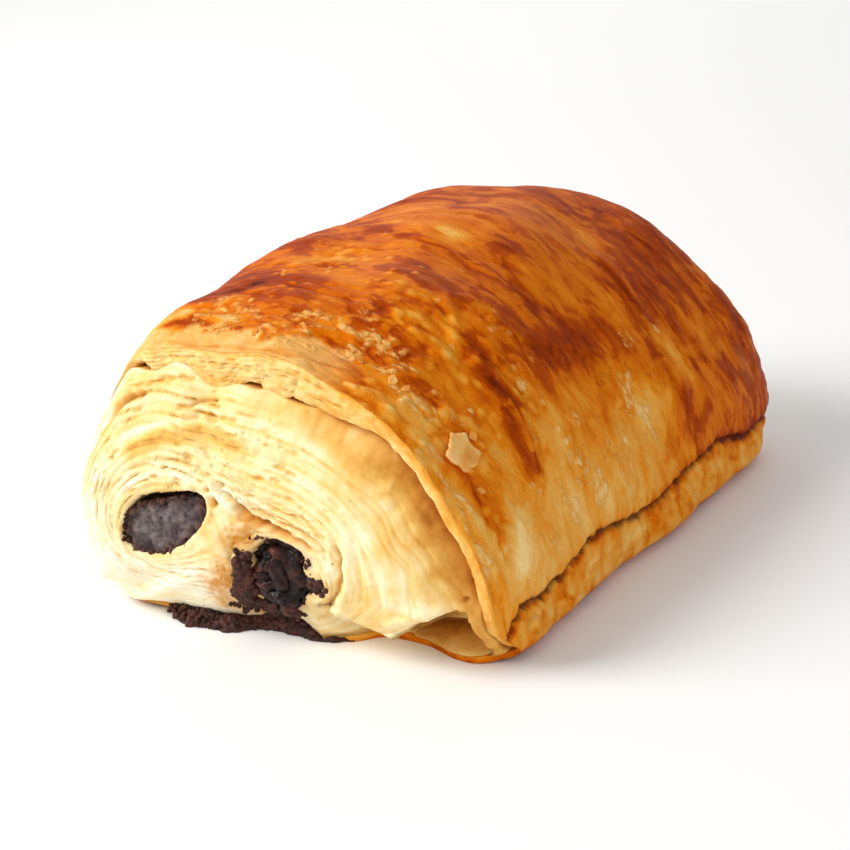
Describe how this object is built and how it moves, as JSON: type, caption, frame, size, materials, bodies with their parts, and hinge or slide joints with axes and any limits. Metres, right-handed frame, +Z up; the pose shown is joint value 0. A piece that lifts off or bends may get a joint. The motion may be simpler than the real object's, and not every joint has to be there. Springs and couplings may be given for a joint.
{
  "type": "pain au chocolat",
  "caption": "Rolled laminated pastry with a browned crown, a layered spiral end, dark chocolate bars showing at both ends and a flat baked base.",
  "frame": {"origin": "middle of the whole pastry's bounding box, on its base", "axes": "+Y along the roll, away from the end that is shown; +Z up; +X towards the right side seen from the shown end, the side whose wrap ends in a lip"},
  "size_m": [0.075, 0.1034, 0.0492],
  "materials": {
    "pastry": "egg-washed baked crust, glossy amber to brown, with pale matt layered dough on the ends",
    "chocolate": "dark baking chocolate, matt and crumbly with melted glossy spots"
  },
  "bodies": {
    "root": {"pastry": "pastry", "chocolate_bar_left": "chocolate", "chocolate_bar_right": "chocolate", "chocolate_seep": "chocolate"}
  },
  "joints": []
}
